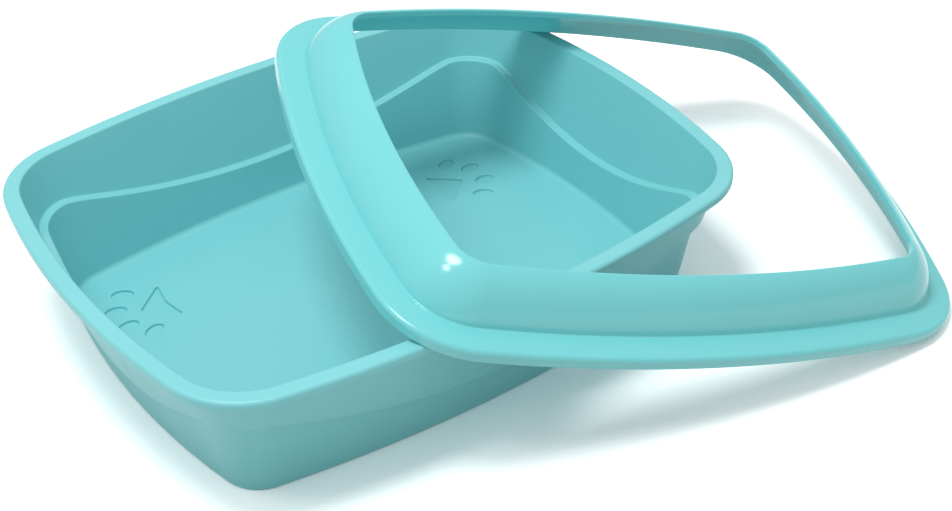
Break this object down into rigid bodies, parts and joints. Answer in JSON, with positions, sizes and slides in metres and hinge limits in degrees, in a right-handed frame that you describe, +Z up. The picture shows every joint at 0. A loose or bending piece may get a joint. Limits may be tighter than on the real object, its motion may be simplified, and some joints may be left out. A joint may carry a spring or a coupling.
{
  "type": "litter tray with rim",
  "caption": "Open litter tray with bowed sides, a dipping wall ledge and a lip, and a loose domed rim that presses over the lip, here leaning on it.",
  "frame": {"origin": "centre of the tray's flat underside, on the surface that it stands on", "axes": "+X along the tray's long side, towards the end that comes up through the leaning rim; +Y towards the long side that the paw prints lie by; +Z up"},
  "size_m": [0.6827, 0.5043, 0.1944],
  "materials": {
    "tray_plastic": "satin turquoise moulded plastic",
    "rim_plastic": "glossy turquoise moulded plastic"
  },
  "bodies": {
    "tray": {"tray": "tray_plastic"},
    "rim": {"rim": "rim_plastic"}
  },
  "joints": [
    {"name": "rim_lift", "type": "slide", "parent": "tray", "child": "rim", "axis": [0, 0, 1], "range_m": [0, 0.3]}
  ]
}
